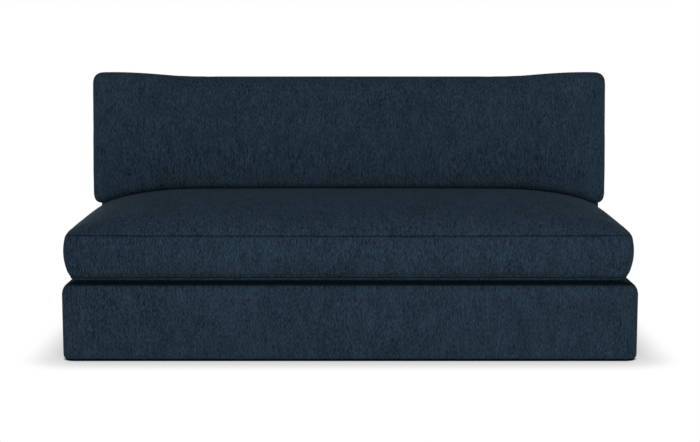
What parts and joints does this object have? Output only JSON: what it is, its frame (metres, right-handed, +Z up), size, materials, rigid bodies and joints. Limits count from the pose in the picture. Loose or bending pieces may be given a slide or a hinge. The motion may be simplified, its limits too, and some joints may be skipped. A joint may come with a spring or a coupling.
{
  "type": "sofa",
  "caption": "Armless sofa with a plinth base covered to the floor, a loose crowned bench seat cushion and a loose back cushion.",
  "frame": {"origin": "on the floor under the middle of the sofa", "axes": "+X to the right of someone looking at the front, +Y towards the back, +Z up; the front faces -Y"},
  "size_m": [1.88, 0.96, 0.9178],
  "materials": {
    "frame_chenille": "matte",
    "seat_chenille": "matte",
    "back_chenille": "matte",
    "deck_lining": "matte",
    "dust_cloth": "matte",
    "foam": "matte",
    "fibre": "matte",
    "felt": "matte",
    "elastic_webbing": "matte",
    "plywood": "matte",
    "spring_wire": "satin",
    "zinc_plate": "satin",
    "glide_plastic": "matte",
    "zip_teeth": "satin",
    "zip_metal": "satin"
  },
  "bodies": {
    "frame": {"back_bottom_rail": "plywood", "back_lower_rail": "plywood", "back_top_rail": "plywood", "back_wadding": "fibre", "back_webbing": "elastic_webbing", "base_front_cover": "frame_chenille", "base_wadding": "fibre", "centre_bay_springs": "spring_wire", "coach_screws": "zinc_plate", "corner_blocks": "plywood", "deck_cloth": "deck_lining", "deck_pad": "foam", "dust_cover": "dust_cloth", "front_edge_roll": "foam", "front_glides": "glide_plastic", "front_rail": "plywood", "inside_back_cover": "frame_chenille", "inside_back_pad": "foam", "left_back_boxing": "frame_chenille", "left_back_post": "plywood", "left_bay_springs": "spring_wire", "left_edge_roll": "foam", "left_middle_post": "plywood", "left_side_cover": "frame_chenille", "left_side_rail": "plywood", "left_stretcher": "plywood", "outside_back_cover": "frame_chenille", "rear_glides": "glide_plastic", "rear_seat_rail": "plywood", "right_back_boxing": "frame_chenille", "right_back_post": "plywood", "right_bay_springs": "spring_wire", "right_edge_roll": "foam", "right_middle_post": "plywood", "right_side_cover": "frame_chenille", "right_side_rail": "plywood", "right_stretcher": "plywood", "spring_clips": "spring_wire", "spring_insulator": "felt", "spring_tie_wires": "spring_wire", "top_back_boxing": "frame_chenille"},
    "seat_cushion": {"seat_top_panel": "seat_chenille", "seat_bottom_panel": "seat_chenille", "seat_boxing": "seat_chenille", "seat_zip_strip": "seat_chenille", "seat_foam_core": "foam", "seat_zip_chain": "zip_teeth"},
    "back_cushion": {"back_cushion_front_panel": "back_chenille", "back_cushion_rear_panel": "back_chenille", "back_cushion_boxing": "back_chenille", "back_cushion_zip_strip": "back_chenille", "back_cushion_fill": "fibre", "back_zip_chain": "zip_teeth"},
    "seat_zip_slider": {"seat_zip_slider": "zip_metal"},
    "seat_zip_pull": {"seat_zip_pull": "zip_metal"},
    "back_zip_slider": {"back_zip_slider": "zip_metal"},
    "back_zip_pull": {"back_zip_pull": "zip_metal"}
  },
  "joints": [
    {"name": "seat_cushion_lift", "type": "slide", "parent": "frame", "child": "seat_cushion", "axis": [0, 0, 1], "range_m": [0, 0.56]},
    {"name": "back_cushion_lift", "type": "slide", "parent": "seat_cushion", "child": "back_cushion", "axis": [0, 0, 1], "range_m": [0, 0.42]},
    {"name": "seat_zip_run", "type": "slide", "parent": "seat_cushion", "child": "seat_zip_slider", "axis": [1, 0, 0], "range_m": [0, 1.024]},
    {"name": "seat_zip_pull_turn", "type": "hinge", "parent": "seat_zip_slider", "child": "seat_zip_pull", "pos_m": [-0.518, 0.3268, 0.3435], "axis": [0, 0, 1], "range_deg": [0, 180]},
    {"name": "back_zip_run", "type": "slide", "parent": "back_cushion", "child": "back_zip_slider", "axis": [1, 0, 0], "range_m": [0, 1.024]},
    {"name": "back_zip_pull_turn", "type": "hinge", "parent": "back_zip_slider", "child": "back_zip_pull", "pos_m": [-0.5155, 0.3043, 0.47548], "axis": [0, -0.9949, 0.1011], "range_deg": [-85, 85]}
  ]
}
